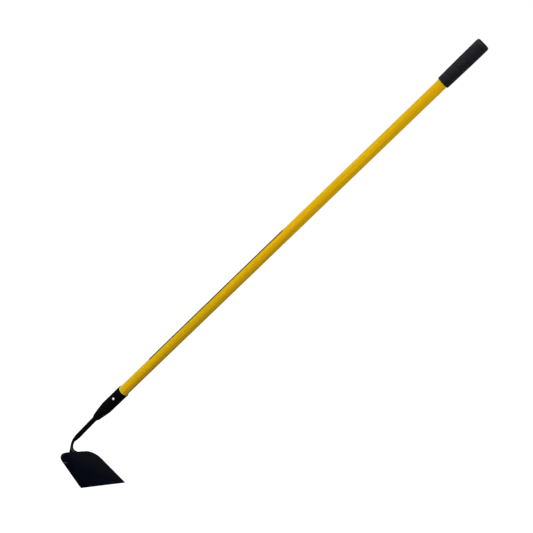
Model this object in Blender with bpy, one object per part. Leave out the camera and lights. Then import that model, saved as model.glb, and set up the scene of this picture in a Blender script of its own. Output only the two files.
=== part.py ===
"""Garden hoe: flat steel blade on a gooseneck, steel ferrule, yellow fibreglass handle, cushion grip.

The hoe hangs head down. +Z runs up the handle's axis, +Y points from the handle towards the
cutting edge and X runs across the blade. The origin is on the axis of the handle, at the height
where a rack clip holds it.
"""
import math

import bmesh
import bpy
from mathutils import Vector

# All lengths are in metres and all angles in degrees.
CLEARANCE = 0.0003

# Handle: a fibreglass tube, a little thicker at its head end.
CLIP_BELOW_GRIP = 0.150
HANDLE_SHOWING = 1.094
HANDLE_LOWER_DIAMETER = 0.0272
HANDLE_UPPER_DIAMETER = 0.0248
HANDLE_WALL = 0.0030
HANDLE_IN_FERRULE = 0.068
HANDLE_IN_GRIP = 0.109

# Core dowel inside the head end of the tube, which the rivet goes through.
CORE_LENGTH = 0.100

# Ferrule: a straight sleeve that tapers to a rounded nose round the neck.
FERRULE_WALL = 0.0019
FERRULE_STRAIGHT = 0.072
FERRULE_TAPER = 0.040
FERRULE_NOSE = 0.009
FERRULE_TAPER_END_DIAMETER = 0.0209
FERRULE_SHOULDER_RADIUS = 0.060
FERRULE_NOSE_RADIUS = 0.010
FERRULE_BEAD_HEIGHT = 0.0004
FERRULE_BEAD_WIDTH = 0.0030

# Rivet through ferrule, tube and core.
RIVET_BELOW_RIM = 0.0285
RIVET_TURN = 16.0
RIVET_SHANK_DIAMETER = 0.0050
RIVET_HEAD_DIAMETER = 0.0095
RIVET_HEAD_HEIGHT = 0.0026
RIVET_HEAD_RIM = 0.0005
RIVET_TAIL_DIAMETER = 0.0080
RIVET_TAIL_HEIGHT = 0.0020
RIVET_TAIL_EDGE = 0.0009
RIVET_SEAT_DIAMETER = 0.0120
RIVET_SEAT_DEPTH = 0.0005

# Gooseneck: a round rod, drawn thin at its waist and flattened into a foot behind the blade.
NECK_DIAMETER = 0.0135
NECK_LEAN = 1.7
NECK_FIRST_TURN = 53.0
NECK_FIRST_RADIUS = 0.025
NECK_SECOND_RADIUS = 0.013
NECK_SECOND_CORNER_BEFORE_BLADE = 0.0135
NECK_DIP = 0.0010
NECK_LAST_RADIUS = 0.030
NECK_SEAT_LENGTH = 0.016
NECK_SEAT_EDGE = 0.001
NECK_PITCH = 0.002
WAIST_WIDTH = 0.0090
WAIST_THICKNESS = 0.0056
NECK_THINS_FROM = 0.060
NECK_THINS_TO = 0.030
FOOT_WIDTH = 0.043
FOOT_THICKNESS = 0.0064
FOOT_END_THICKNESS = 0.0034
FOOT_FANS_FROM = 0.024
FOOT_OVERLAP = 0.026
FOOT_END_LENGTH = 0.006
FOOT_END_NARROWING = 0.14

# Blade: a flat plate with round shoulders, sides that spread a little and a ground edge.
BLADE_ANGLE_TO_HANDLE = 73.8
BLADE_TOP_BELOW_RIM = 0.2255
BLADE_TOP_OUT = 0.0311
BLADE_HEIGHT = 0.131
BLADE_EDGE_WIDTH = 0.161
BLADE_TOP_WIDTH = 0.133
BLADE_SHOULDER_RADIUS = 0.035
BLADE_THICKNESS = 0.0021
BLADE_EDGE_THICKNESS = 0.0008
BLADE_BEVEL = 0.008

# Weld that runs round the foot on the back of the blade.
WELD_LEG = 0.0040
WELD_ABOVE_BLADE = 0.0028
WELD_END_LENGTH = 0.0008
WELD_END_SIZE = 0.6
WELD_FLATNESS = 0.95
WELD_STEP = 0.00001

# Cushion grip: a sleeve with a closed end, swelling a little towards it.
GRIP_LENGTH = 0.1144
GRIP_EVEN_LENGTH = 0.038
GRIP_LOWER_DIAMETER = 0.0302
GRIP_UPPER_DIAMETER = 0.0319
GRIP_LOWER_EDGE_RADIUS = 0.0008
GRIP_END_EDGE_RADIUS = 0.0024

# Plug in the upper end of the tube.
PLUG_LENGTH = 0.025
PLUG_FLANGE = 0.0015

# Bare label strip on the side of the handle that faces away from the blade.
LABEL_BOTTOM = 0.120
LABEL_LENGTH = 0.490
LABEL_SPAN = 122.0
LABEL_THICKNESS = 0.0003

ROUND_SIDES = 48
SMALL_SIDES = 24

rim_height = -(HANDLE_SHOWING - CLIP_BELOW_GRIP)
grip_bottom = CLIP_BELOW_GRIP
tube_bottom = rim_height - HANDLE_IN_FERRULE
tube_top = grip_bottom + HANDLE_IN_GRIP
handle_lower_radius = HANDLE_LOWER_DIAMETER / 2
handle_upper_radius = HANDLE_UPPER_DIAMETER / 2
ferrule_bore_radius = handle_lower_radius + CLEARANCE
ferrule_outer_radius = ferrule_bore_radius + FERRULE_WALL
neck_radius = NECK_DIAMETER / 2
taper_bottom = rim_height - FERRULE_STRAIGHT - FERRULE_TAPER
nose_bottom = taper_bottom - FERRULE_NOSE
blade_tilt = math.radians(90.0 - BLADE_ANGLE_TO_HANDLE)


def make_material(name, colour, roughness, metallic=0.0):
    material = bpy.data.materials.new(name)
    material.use_nodes = True
    shader = material.node_tree.nodes["Principled BSDF"]
    shader.inputs["Base Color"].default_value = (*colour, 1.0)
    shader.inputs["Roughness"].default_value = roughness
    shader.inputs["Metallic"].default_value = metallic
    return material


def add_object(name, bm, material, sharp_angle=35.0):
    """Closes the mesh with its faces pointing out and links it as a named object."""
    bmesh.ops.recalc_face_normals(bm, faces=bm.faces)
    mesh = bpy.data.meshes.new(name)
    bm.to_mesh(mesh)
    bm.free()
    mesh.shade_smooth()
    mesh.set_sharp_from_angle(angle=math.radians(sharp_angle))
    mesh.materials.append(material)
    item = bpy.data.objects.new(name, mesh)
    bpy.context.scene.collection.objects.link(item)
    return item


def rounded_line(corners, steps=6):
    """Turns corners, each a point and a radius, into points with an arc at every radius."""
    points = [corners[0][0]]
    for before, (corner, radius), after in zip(corners, corners[1:], corners[2:]):
        if radius == 0:
            points.append(corner)
            continue
        back = (before[0] - corner).normalized()
        ahead = (after[0] - corner).normalized()
        half_angle = back.angle(ahead) / 2
        tangent = radius / math.tan(half_angle)
        centre = corner + (back + ahead).normalized() * (radius / math.sin(half_angle))
        start = corner + back * tangent - centre
        end = corner + ahead * tangent - centre
        points += [centre + start.slerp(end, step / steps) * radius for step in range(steps + 1)]
    points.append(corners[-1][0])
    return points


def turned(name, profile, material, sides=ROUND_SIDES):
    """Turns a profile of (radius, height) points round Z. One that ends off the axis is closed."""
    bm = bmesh.new()
    points = [Vector((radius, 0, height)) for radius, height in profile]
    verts = [bm.verts.new(point) for point in points]
    edges = [bm.edges.new(pair) for pair in zip(verts, verts[1:])]
    if points[0].x > 0:
        edges.append(bm.edges.new((verts[-1], verts[0])))
    bmesh.ops.spin(
        bm, geom=verts + edges, cent=(0, 0, 0), axis=(0, 0, 1),
        angle=math.tau, steps=sides, use_merge=True,
    )
    bmesh.ops.remove_doubles(bm, verts=bm.verts, dist=1e-6)
    return add_object(name, bm, material)


def lofted(name, rings, material, sharp_angle=35.0):
    """Bridges rings of points, each to the next, and caps both ends."""
    bm = bmesh.new()
    loops = []
    for ring in rings:
        verts = [bm.verts.new(point) for point in ring]
        loops.append([bm.edges.new(pair) for pair in zip(verts, verts[1:] + verts[:1])])
        if ring is rings[0] or ring is rings[-1]:
            bm.faces.new(verts)
    for lower, upper in zip(loops, loops[1:]):
        bmesh.ops.bridge_loops(bm, edges=lower + upper)
    return add_object(name, bm, material, sharp_angle)


def as_pairs(points):
    """Profile points (radius, height) from vectors in the XZ plane."""
    return [(point.x, point.z) for point in points]


def at(radius, height):
    return Vector((radius, 0, height))


def build_handle(material):
    """Tube: straight in the ferrule, tapering where it shows, straight again in the grip."""
    outline = [
        (handle_lower_radius, tube_bottom),
        (handle_lower_radius, rim_height),
        (handle_upper_radius, grip_bottom),
        (handle_upper_radius, tube_top),
    ]
    bore = [(radius - HANDLE_WALL, height) for radius, height in reversed(outline)]
    return turned("handle_tube", outline + bore, material)


def build_core(material):
    """Dowel that keeps the rivet from crushing the tube. It follows the tube's bore."""
    radius = handle_lower_radius - HANDLE_WALL - CLEARANCE
    top = tube_bottom + CORE_LENGTH
    taper = (HANDLE_LOWER_DIAMETER - HANDLE_UPPER_DIAMETER) / 2 / HANDLE_SHOWING
    top_radius = radius - taper * max(top - rim_height, 0)
    profile = [(0, tube_bottom), (radius, tube_bottom), (radius, rim_height), (top_radius, top), (0, top)]
    return turned("core_dowel", profile, material)


def build_ferrule(material):
    """Sleeve with a small bead at its rim, a taper and a nose that closes on the neck."""
    taper_end = FERRULE_TAPER_END_DIAMETER / 2
    hole = neck_radius + CLEARANCE
    bead = ferrule_outer_radius + FERRULE_BEAD_HEIGHT
    bead_bottom = rim_height - FERRULE_BEAD_WIDTH
    shoulder = rim_height - FERRULE_STRAIGHT
    outside = rounded_line([
        (at(ferrule_bore_radius, rim_height), 0),
        (at(bead, rim_height), FERRULE_WALL / 3),
        (at(bead, bead_bottom), 0),
        (at(ferrule_outer_radius, bead_bottom - FERRULE_BEAD_HEIGHT), 0),
        (at(ferrule_outer_radius, shoulder), FERRULE_SHOULDER_RADIUS),
        (at(taper_end, taper_bottom), FERRULE_NOSE_RADIUS),
        (at(hole, nose_bottom), 0),
    ])
    inside = rounded_line([
        (at(hole, nose_bottom), 0),
        (at(hole, taper_bottom - FERRULE_WALL), 0),
        (at(taper_end - FERRULE_WALL, taper_bottom), 0),
        (at(ferrule_bore_radius, shoulder), FERRULE_SHOULDER_RADIUS),
        (at(ferrule_bore_radius, rim_height), 0),
    ])
    return turned("ferrule", as_pairs(outside + inside[1:-1]), material)


def build_rivet(material):
    """Domed head on one side, peened tail on the other, along its own Z before it is laid down."""
    shank = RIVET_SHANK_DIAMETER / 2
    seat = ferrule_outer_radius - RIVET_SEAT_DEPTH + CLEARANCE
    head = RIVET_HEAD_DIAMETER / 2
    tail = RIVET_TAIL_DIAMETER / 2
    head_top = seat + RIVET_HEAD_HEIGHT
    tail_top = seat + RIVET_TAIL_HEIGHT
    dome_bottom = seat + RIVET_HEAD_RIM
    profile = as_pairs(rounded_line([
        (at(0, -tail_top), 0),
        (at(tail - RIVET_TAIL_EDGE, -tail_top), RIVET_TAIL_EDGE),
        (at(tail, -seat), 0),
        (at(shank, -seat), 0),
        (at(shank, seat), 0),
        (at(head, seat), 0),
        (at(head, dome_bottom), 0),
    ]))
    steps = 7
    for step in range(1, steps + 1):
        angle = math.radians(90.0 * step / steps)
        height = dome_bottom + (head_top - dome_bottom) * math.sin(angle)
        profile.append((head * max(math.cos(angle), 0), height))
    profile[-1] = (0, head_top)
    rivet = turned("rivet", profile, material, SMALL_SIDES)
    place_across(rivet)
    return rivet


def place_across(item):
    """Lays an object's Z along the rivet's axis, through the handle."""
    item.rotation_euler = (0, math.radians(90.0), math.radians(RIVET_TURN))
    item.location = (0, 0, rim_height - RIVET_BELOW_RIM)


def drill_for_rivet(targets, material):
    """One hole through the pieces, with a flat seat for each rivet head on the ferrule."""
    hole = RIVET_SHANK_DIAMETER / 2 + CLEARANCE
    wide = RIVET_SEAT_DIAMETER / 2
    seat = ferrule_outer_radius - RIVET_SEAT_DEPTH
    reach = 2 * ferrule_outer_radius
    profile = [
        (0, -reach), (wide, -reach), (wide, -seat), (hole, -seat),
        (hole, seat), (wide, seat), (wide, reach), (0, reach),
    ]
    drill = turned("rivet_drill", profile, material, SMALL_SIDES)
    place_across(drill)
    for target in targets:
        boolean = target.modifiers.new("rivet_hole", "BOOLEAN")
        boolean.operation = "DIFFERENCE"
        boolean.solver = "EXACT"
        boolean.object = drill
    drill.hide_render = True
    drill.display_type = "WIRE"


def build_neck(material):
    """Rod with a cone seated in the ferrule's taper, a thin waist and a flat foot."""
    blade_top = Vector((0, BLADE_TOP_OUT, rim_height - BLADE_TOP_BELOW_RIM))
    down_blade = Vector((0, math.cos(blade_tilt), math.sin(blade_tilt)))
    behind = Vector((0, math.sin(blade_tilt), -math.cos(blade_tilt)))
    foot_line = blade_top + behind * (BLADE_THICKNESS + CLEARANCE + FOOT_THICKNESS / 2)
    nose = Vector((0, 0, nose_bottom))
    second_corner = foot_line - down_blade * NECK_SECOND_CORNER_BEFORE_BLADE + behind * NECK_DIP
    first_corner = meeting_point(nose, NECK_LEAN, second_corner, NECK_FIRST_TURN)
    path = rounded_line([
        (Vector((0, 0, taper_bottom + NECK_SEAT_LENGTH)), 0),
        (nose, 0),
        (first_corner, NECK_FIRST_RADIUS),
        (second_corner, NECK_SECOND_RADIUS),
        (foot_line, NECK_LAST_RADIUS),
        (foot_line + down_blade * FOOT_OVERLAP, 0),
    ], steps=12)
    return lofted("gooseneck", neck_rings(path, foot_line), material)


def meeting_point(first, first_angle, second, second_angle):
    """Where two lines in the YZ plane meet. Each angle is from straight down towards +Y."""
    ahead, other = (Vector((0, math.sin(math.radians(angle)), -math.cos(math.radians(angle))))
                    for angle in (first_angle, second_angle))
    travel = (second - first).cross(other).x / ahead.cross(other).x
    return first + ahead * travel


def neck_rings(path, blade_top):
    """Sections square to the path, each with its own width, thickness and squareness."""
    seat_slope = (ferrule_outer_radius - FERRULE_TAPER_END_DIAMETER / 2) / FERRULE_TAPER
    seat_low = FERRULE_TAPER_END_DIAMETER / 2 - FERRULE_WALL - 2 * CLEARANCE
    seat_high = seat_low + seat_slope * (NECK_SEAT_LENGTH - 2 * NECK_SEAT_EDGE)
    down = Vector((0, 0, -1))
    seat_top = taper_bottom + NECK_SEAT_LENGTH
    rings = [
        section(Vector((0, 0, height)), down, radius, radius, 2)
        for radius, height in (
            (seat_high - NECK_SEAT_EDGE, seat_top),
            (seat_high, seat_top - NECK_SEAT_EDGE),
            (seat_low, taper_bottom + NECK_SEAT_EDGE),
            (neck_radius, taper_bottom),
        )
    ]
    stations = resample(path, NECK_PITCH, start=NECK_SEAT_LENGTH + 1.5 * NECK_SEAT_EDGE)
    blade_at = min(range(len(stations)), key=lambda i: (stations[i] - blade_top).length)
    for index, point in enumerate(stations):
        before = stations[max(index - 1, 0)]
        after = stations[min(index + 1, len(stations) - 1)]
        along = (after - before).normalized()
        half_width, half_thickness, squareness = neck_size((blade_at - index) * NECK_PITCH)
        if index > blade_at:
            point = point + Vector((1, 0, 0)).cross(along) * (FOOT_THICKNESS / 2 - half_thickness)
        rings.append(section(point, along, half_width, half_thickness, squareness))
    return rings


def resample(path, pitch, start):
    """Points a fixed pitch apart along a line of points, from a distance along it."""
    points = []
    wanted = start
    travelled = 0.0
    for here, there in zip(path, path[1:]):
        length = (there - here).length
        while wanted <= travelled + length:
            points.append(here.lerp(there, (wanted - travelled) / length))
            wanted += pitch
        travelled += length
    points.append(path[-1])
    return points


def ease(value, low, high):
    """0 below low, 1 above high and a smooth step between them."""
    share = min(max((value - low) / (high - low), 0.0), 1.0)
    return share * share * (3 - 2 * share)


def neck_size(to_blade):
    """Half width, half thickness and squareness, by the distance still to go to the blade's top."""
    thinning = 1 - ease(to_blade, NECK_THINS_TO, NECK_THINS_FROM)
    fan = min(max(1 - to_blade / FOOT_FANS_FROM, 0.0), 1.0)
    half_width = neck_radius + (WAIST_WIDTH / 2 - neck_radius) * thinning
    half_width += (FOOT_WIDTH - WAIST_WIDTH) / 2 * fan ** 2
    half_thickness = neck_radius + (WAIST_THICKNESS / 2 - neck_radius) * thinning
    half_thickness += (FOOT_THICKNESS - WAIST_THICKNESS) / 2 * ease(fan, 0.0, 1.0)
    tapering = min(max(-to_blade / FOOT_OVERLAP, 0.0), 1.0)
    half_thickness += (FOOT_END_THICKNESS - FOOT_THICKNESS) / 2 * tapering
    end_round = ease(to_blade, -FOOT_OVERLAP, FOOT_END_LENGTH - FOOT_OVERLAP)
    half_width *= 1 - FOOT_END_NARROWING * (1 - math.sqrt(end_round))
    return half_width, half_thickness, 2 + 4 * fan


def section(point, direction, half_width, half_thickness, squareness, sides=SMALL_SIDES):
    """Ring of points of a rounded shape, square to a direction in the YZ plane."""
    across = Vector((1, 0, 0))
    through = direction.cross(across)
    power = 2 / squareness
    ring = []
    for step in range(sides):
        angle = math.tau * (step + 0.5) / sides
        cosine = math.cos(angle)
        sine = math.sin(angle)
        x = half_width * math.copysign(abs(cosine) ** power, cosine)
        y = half_thickness * math.copysign(abs(sine) ** power, sine)
        ring.append(point + across * x + through * y)
    return ring


def place_on_blade(item):
    """Blade frame: X across, Y down to the cutting edge and Z out of the inner face."""
    item.rotation_euler = (blade_tilt, 0, 0)
    item.location = (0, BLADE_TOP_OUT, rim_height - BLADE_TOP_BELOW_RIM)


def build_blade(material):
    """Plate from its outline, with the cutting edge ground on the back."""
    half_edge = BLADE_EDGE_WIDTH / 2
    half_top = BLADE_TOP_WIDTH / 2
    corners = [
        (Vector((-half_edge, BLADE_HEIGHT, 0)), 0),
        (Vector((-half_top, 0, 0)), BLADE_SHOULDER_RADIUS),
        (Vector((half_top, 0, 0)), BLADE_SHOULDER_RADIUS),
        (Vector((half_edge, BLADE_HEIGHT, 0)), 0),
    ]
    bm = bmesh.new()
    plate = bm.faces.new([bm.verts.new(point) for point in rounded_line(corners, steps=14)])
    extruded = bmesh.ops.extrude_face_region(bm, geom=[plate])
    back = [item for item in extruded["geom"] if isinstance(item, bmesh.types.BMVert)]
    bmesh.ops.translate(bm, verts=back, vec=(0, 0, -BLADE_THICKNESS))
    drop = BLADE_THICKNESS - BLADE_EDGE_THICKNESS
    ground = bmesh.ops.bisect_plane(
        bm, geom=bm.verts[:] + bm.edges[:] + bm.faces[:],
        plane_co=(0, BLADE_HEIGHT, -BLADE_EDGE_THICKNESS),
        plane_no=(0, drop, -BLADE_BEVEL), clear_outer=True,
    )
    rim = [item for item in ground["geom_cut"] if isinstance(item, bmesh.types.BMEdge)]
    bmesh.ops.contextual_create(bm, geom=rim)
    blade = add_object("blade", bm, material, sharp_angle=20.0)
    place_on_blade(blade)
    return blade


def build_weld(material):
    """Bead down one side of the foot, round its end and up the other, with a lump at each end."""
    inner = FOOT_WIDTH / 2 + CLEARANCE
    end = FOOT_OVERLAP + CLEARANCE
    back = -(BLADE_THICKNESS + CLEARANCE)
    half = rounded_line([
        (Vector((-inner, -CLEARANCE, back)), 0),
        (Vector((-inner, end, back)), WELD_LEG / 2),
        (Vector((0, end, back)), 0),
    ], steps=5)
    lump_places = (WELD_ABOVE_BLADE, WELD_ABOVE_BLADE - WELD_END_LENGTH, CLEARANCE + WELD_STEP)
    half = [Vector((-inner, -above, -CLEARANCE)) for above in lump_places] + half
    route = half + [Vector((-point.x, point.y, point.z)) for point in reversed(half[:-1])]
    rings = []
    for index, point in enumerate(route):
        before = route[max(index - 1, 0)]
        after = route[min(index + 1, len(route) - 1)]
        along = Vector((after.x - before.x, after.y - before.y, 0)).normalized()
        outward = Vector((0, 0, 1)).cross(along)
        leg = WELD_LEG * (WELD_END_SIZE if index in (0, len(route) - 1) else 1.0)
        foot = Vector((point.x, point.y, back))
        ring = [point, point + outward * leg]
        for degrees in (30, 60, 90):
            angle = math.radians(degrees)
            rise = Vector((0, 0, leg * WELD_FLATNESS * math.sin(angle)))
            ring.append(foot + outward * (leg * max(math.cos(angle), 0)) - rise)
        rings.append(ring)
    weld = lofted("weld_bead", rings, material)
    place_on_blade(weld)
    return weld


def build_grip(material):
    """Cushion sleeve with a blind bore that ends just above the plug."""
    bore = handle_upper_radius + CLEARANCE
    lower = GRIP_LOWER_DIAMETER / 2
    upper = GRIP_UPPER_DIAMETER / 2
    top = grip_bottom + GRIP_LENGTH
    bore_top = tube_top + PLUG_FLANGE + 2 * CLEARANCE
    profile = rounded_line([
        (at(0, bore_top), 0),
        (at(bore, bore_top), 0),
        (at(bore, grip_bottom), 0),
        (at(lower, grip_bottom), GRIP_LOWER_EDGE_RADIUS),
        (at(upper, top - GRIP_EVEN_LENGTH), 0),
        (at(upper, top), GRIP_END_EDGE_RADIUS),
        (at(0, top), 0),
    ])
    return turned("cushion_grip", as_pairs(profile), material)


def build_end_plug(material):
    """Plug that closes the upper end of the tube under the grip's closed end."""
    radius = handle_upper_radius - HANDLE_WALL - CLEARANCE
    under = tube_top + CLEARANCE
    profile = [
        (0, tube_top - PLUG_LENGTH),
        (radius, tube_top - PLUG_LENGTH),
        (radius, under),
        (handle_upper_radius, under),
        (handle_upper_radius, under + PLUG_FLANGE),
        (0, under + PLUG_FLANGE),
    ]
    return turned("end_plug", profile, material)


def build_label(material):
    """Thin curved strip, which follows the taper of the tube."""
    bottom = rim_height + LABEL_BOTTOM
    half_span = math.radians(LABEL_SPAN / 2)
    steps = 16
    rings = []
    for height in (bottom, bottom + LABEL_LENGTH):
        share = (height - rim_height) / HANDLE_SHOWING
        inner = handle_lower_radius + (handle_upper_radius - handle_lower_radius) * share + CLEARANCE
        ring = []
        for radius, order in ((inner, 1), (inner + LABEL_THICKNESS, -1)):
            for step in range(steps + 1)[::order]:
                angle = -math.pi / 2 - half_span + 2 * half_span * step / steps
                ring.append(Vector((radius * math.cos(angle), radius * math.sin(angle), height)))
        rings.append(ring)
    return lofted("label_strip", rings, material)


def main():
    for item in list(bpy.data.objects):
        bpy.data.objects.remove(item, do_unlink=True)
    black_steel = make_material("black_enamelled_steel", (0.012, 0.013, 0.018), 0.45)
    weld_steel = make_material("painted_weld", (0.012, 0.013, 0.018), 0.6)
    bright_steel = make_material("bright_steel", (0.75, 0.75, 0.76), 0.25, 1.0)
    fibreglass = make_material("yellow_fibreglass", (0.72, 0.42, 0.01), 0.35)
    wood = make_material("core_wood", (0.55, 0.38, 0.21), 0.7)
    cushion = make_material("charcoal_cushion", (0.018, 0.017, 0.024), 0.75)
    plastic = make_material("black_plastic", (0.02, 0.02, 0.02), 0.5)
    film = make_material("dark_label_film", (0.03, 0.03, 0.035), 0.4)
    handle = build_handle(fibreglass)
    core = build_core(wood)
    ferrule = build_ferrule(black_steel)
    build_rivet(bright_steel)
    drill_for_rivet((ferrule, handle, core), bright_steel)
    build_neck(black_steel)
    build_blade(black_steel)
    build_weld(weld_steel)
    build_grip(cushion)
    build_end_plug(plastic)
    build_label(film)


main()
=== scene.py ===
"""Looks of the garden hoe: enamelled head, bright rivet, yellow fibreglass handle and cushion grip.

Each piece but the resin fillet is a finer mesh that stands for a solid of the frame and takes its
size and place from it. The dowel and the plug inside stay as they are in the frame. Lengths are
in metres, angles in degrees, and colours are linear.
"""
import math

import bmesh
import bpy
from mathutils import Matrix, Vector, noise
from mathutils.bvhtree import BVHTree


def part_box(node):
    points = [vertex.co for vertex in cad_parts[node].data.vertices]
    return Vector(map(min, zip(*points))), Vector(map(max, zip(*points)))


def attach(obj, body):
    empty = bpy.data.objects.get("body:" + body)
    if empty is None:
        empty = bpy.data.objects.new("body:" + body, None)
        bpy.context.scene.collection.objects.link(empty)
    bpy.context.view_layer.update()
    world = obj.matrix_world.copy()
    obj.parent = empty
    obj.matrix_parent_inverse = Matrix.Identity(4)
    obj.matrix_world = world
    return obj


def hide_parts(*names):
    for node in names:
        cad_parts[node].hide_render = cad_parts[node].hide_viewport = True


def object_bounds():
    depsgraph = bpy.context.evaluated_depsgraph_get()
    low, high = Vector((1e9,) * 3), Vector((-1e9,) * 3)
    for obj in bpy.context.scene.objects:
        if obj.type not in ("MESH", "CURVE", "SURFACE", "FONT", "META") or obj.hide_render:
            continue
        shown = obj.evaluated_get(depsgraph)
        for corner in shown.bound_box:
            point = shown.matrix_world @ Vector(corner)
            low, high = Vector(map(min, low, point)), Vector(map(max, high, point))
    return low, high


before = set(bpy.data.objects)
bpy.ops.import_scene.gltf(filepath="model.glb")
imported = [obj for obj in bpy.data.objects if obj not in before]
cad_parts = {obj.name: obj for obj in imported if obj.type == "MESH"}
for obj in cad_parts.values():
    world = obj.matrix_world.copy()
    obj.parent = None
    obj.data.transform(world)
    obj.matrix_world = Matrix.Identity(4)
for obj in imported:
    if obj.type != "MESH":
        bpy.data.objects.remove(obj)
cad_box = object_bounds()
handle_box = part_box("handle_tube")
ferrule_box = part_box("ferrule")
rivet_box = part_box("rivet")
grip_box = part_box("cushion_grip")

# Camera: fitted to the outline of the hoe in the photograph, whose frame is square.
CAMERA_PLACE = Vector((1.7343, 0.9329, 0.3305))
CAMERA_RIGHT = Vector((-0.55020, 0.49238, 0.67442))
CAMERA_BACK = Vector((0.82705, 0.43272, 0.35880))
CAMERA_CLIP_START = 0.01
PHOTO_SIDE_PIXELS = 533
FOCAL_PIXELS = 899.2
SENSOR_MM = 36.0

# Floor: the glow is what makes it white to the camera and throws no light on the hoe.
FLOOR_BELOW_HEAD = 0.30
FLOOR_SIZE = 60.0
FLOOR_COLOUR = (0.86, 0.86, 0.86)
FLOOR_GLOW = 0.62

# Light from all around: its strength, and how much it gains towards one side.
AMBIENT = 0.50
AMBIENT_LEAN = 0.30
AMBIENT_DIRECTION = Vector((0.50, -0.87, 0.0))

# Lamps: round, each with its power in watts.
KEY_DIRECTION = Vector((0.80, -0.56, -0.05))
KEY_DISTANCE = 3.2
KEY_SIZE = 1.6
KEY_POWER = 45.0
FILL_DIRECTION = Vector((0.34, 0.94, 0.20))
FILL_DISTANCE = 1.0
FILL_SIZE = 0.7
FILL_POWER = 4.6
FILL_COLOUR = (1.0, 0.78, 0.60)

# Fineness of the visible meshes: sides round the axis, the pitch of points along it where the side
# is curved and where it is plain, and the steps of a quarter round.
ROUND_SIDES = 96
RIVET_SIDES = 48
PROFILE_PITCH = 0.0008
PLAIN_PITCH = 0.02
CURVE_STEPS = 8
SMALL_CURVE_STEPS = 6
MERGE_WITHIN = 1e-6

# Edges are drawn sharp where their faces turn by more than this.
SHARP_ANGLE = 35.0
SHARP_ON_SMALL_PIECES = 50.0
SHARP_ON_SMOOTH_PIECES = 60.0
SHARP_ON_PLATE = 20.0
SHARP_ON_ROUNDED_PLATE = 28.0

# Rays that measure a node start this far out and pass beside the handle's axis, clear of a seam.
# At the end of a node they are shot a hair inside it.
RAY_START = 1.0
RAY_ASIDE = 0.0001
HANDLE_INSET = 1e-5
FERRULE_INSET = 2e-5

# Play between pieces that fit in each other.
PLAY = 0.0003

# Ferrule: its wall, the edge left at the nose, and the flat seats under the rivet's two ends.
FERRULE_WALL = 0.0015
FERRULE_NOSE_EDGE = 1e-5
SEAT_MARGIN = 0.0012
SEAT_DEPTH = 0.0005

# Rivet: shares of its radius and height that shape a dome, and of the tail's radius that is flat.
DOME_STEPS = 12
DOME_FOOT_SHARE = 0.97
DOME_RIM_SHARE = 0.12
TAIL_FLAT_SHARE = 0.35

# Painted highlight on the rivet: a crown of bare bright steel, its radius, and how far it lies above
# and beside the middle. Below it the paint is paler, a painted reflection, wholly past the first
# distance under the middle and not above the second.
HIGHLIGHT_CROWN_RADIUS = 0.0026
HIGHLIGHT_CROWN_SOFTNESS = 0.0006
HIGHLIGHT_CROWN_SHIFT = 0.0014
HIGHLIGHT_CROWN_ASIDE = 0.0001
PAINTED_REFLECTION_BELOW_CENTRE = (0.0034, 0.0018)
PAINTED_REFLECTION_COLOUR = (0.080, 0.080, 0.086)

# Fillet of resin where the handle enters the ferrule.
RESIN_LEG = 0.0003
RESIN_RISE = 0.0016

# Gooseneck: angles within which its faces count as flat or make one quad, and its smoothing.
NECK_FLAT_ANGLE = 0.05
NECK_QUAD_FACE_ANGLE = 25.0
NECK_QUAD_SHAPE_ANGLE = 60.0
NECK_SUBDIVISIONS = 2

# Foot and weld: how far they were set to one side, and over what length above the blade.
FOOT_ASIDE = 0.0026
FOOT_ASIDE_OVER = 0.022

# Blade: its inner face is found by its normal, to this many digits, and its edges are rounded.
BLADE_NORMAL_DIGITS = 2
BLADE_FLAT_ANGLE = 1.0
BLADE_EDGE_ROUND = 0.0004
BLADE_EDGE_SEGMENTS = 3
BLADE_EDGE_ANGLE = 30.0

# Weld bead: its two ends climb past the blade's top edge by these shares of the solid's climb.
WELD_LEG = 0.0040
WELD_BULGE = 0.07
WELD_RIPPLE_PITCH = 0.0024
WELD_RIPPLE = 0.00035
WELD_END_SHARES = (0.40, 0.90)
WELD_END_ROUND = 0.0020
WELD_END_LEFT = 0.0001
WELD_PITCH = 0.0004

# Cushion grip: its rounded ends and open bore, the faint line near its closed end, and its pores.
# The side is measured up to a share of the rounding below it, clear of the solid's own rounding.
GRIP_END_ROUND = 0.0045
GRIP_MEASURED_SHARE = 0.35
GRIP_END_RINGS = 6
GRIP_END_RING_SHARE = 0.15
GRIP_RIM_ROUND = 0.0008
GRIP_BORE_DEPTH = 0.01
GRIP_LINE_FROM_END = 0.0050
GRIP_LINE_DEPTH = 0.00025
GRIP_LINE_WIDTH = 0.0008
GRIP_PORE_DEPTH = 0.00012
GRIP_PORE_FREQUENCY = 260
GRIP_PORE_DIMENSION = 0.9
GRIP_PORE_LACUNARITY = 2.1
GRIP_PORE_OCTAVES = 4
GRIP_SKIN_FROM_BORE = 0.0004

# Label strip: its round corners and the steps across it.
LABEL_CORNER = 0.004
LABEL_STEPS = 40

# Materials. COLOURS are what a surface wanders between, each after its place on the scale of the
# noise, and ROUGHNESS goes from where the noise is low to where it is high. A noise has its scale,
# its octaves, how strong the finer ones are, and a stretch along each axis where it isn't even.
NOISE_LOW = 0.3
NOISE_HIGH = 0.7

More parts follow.
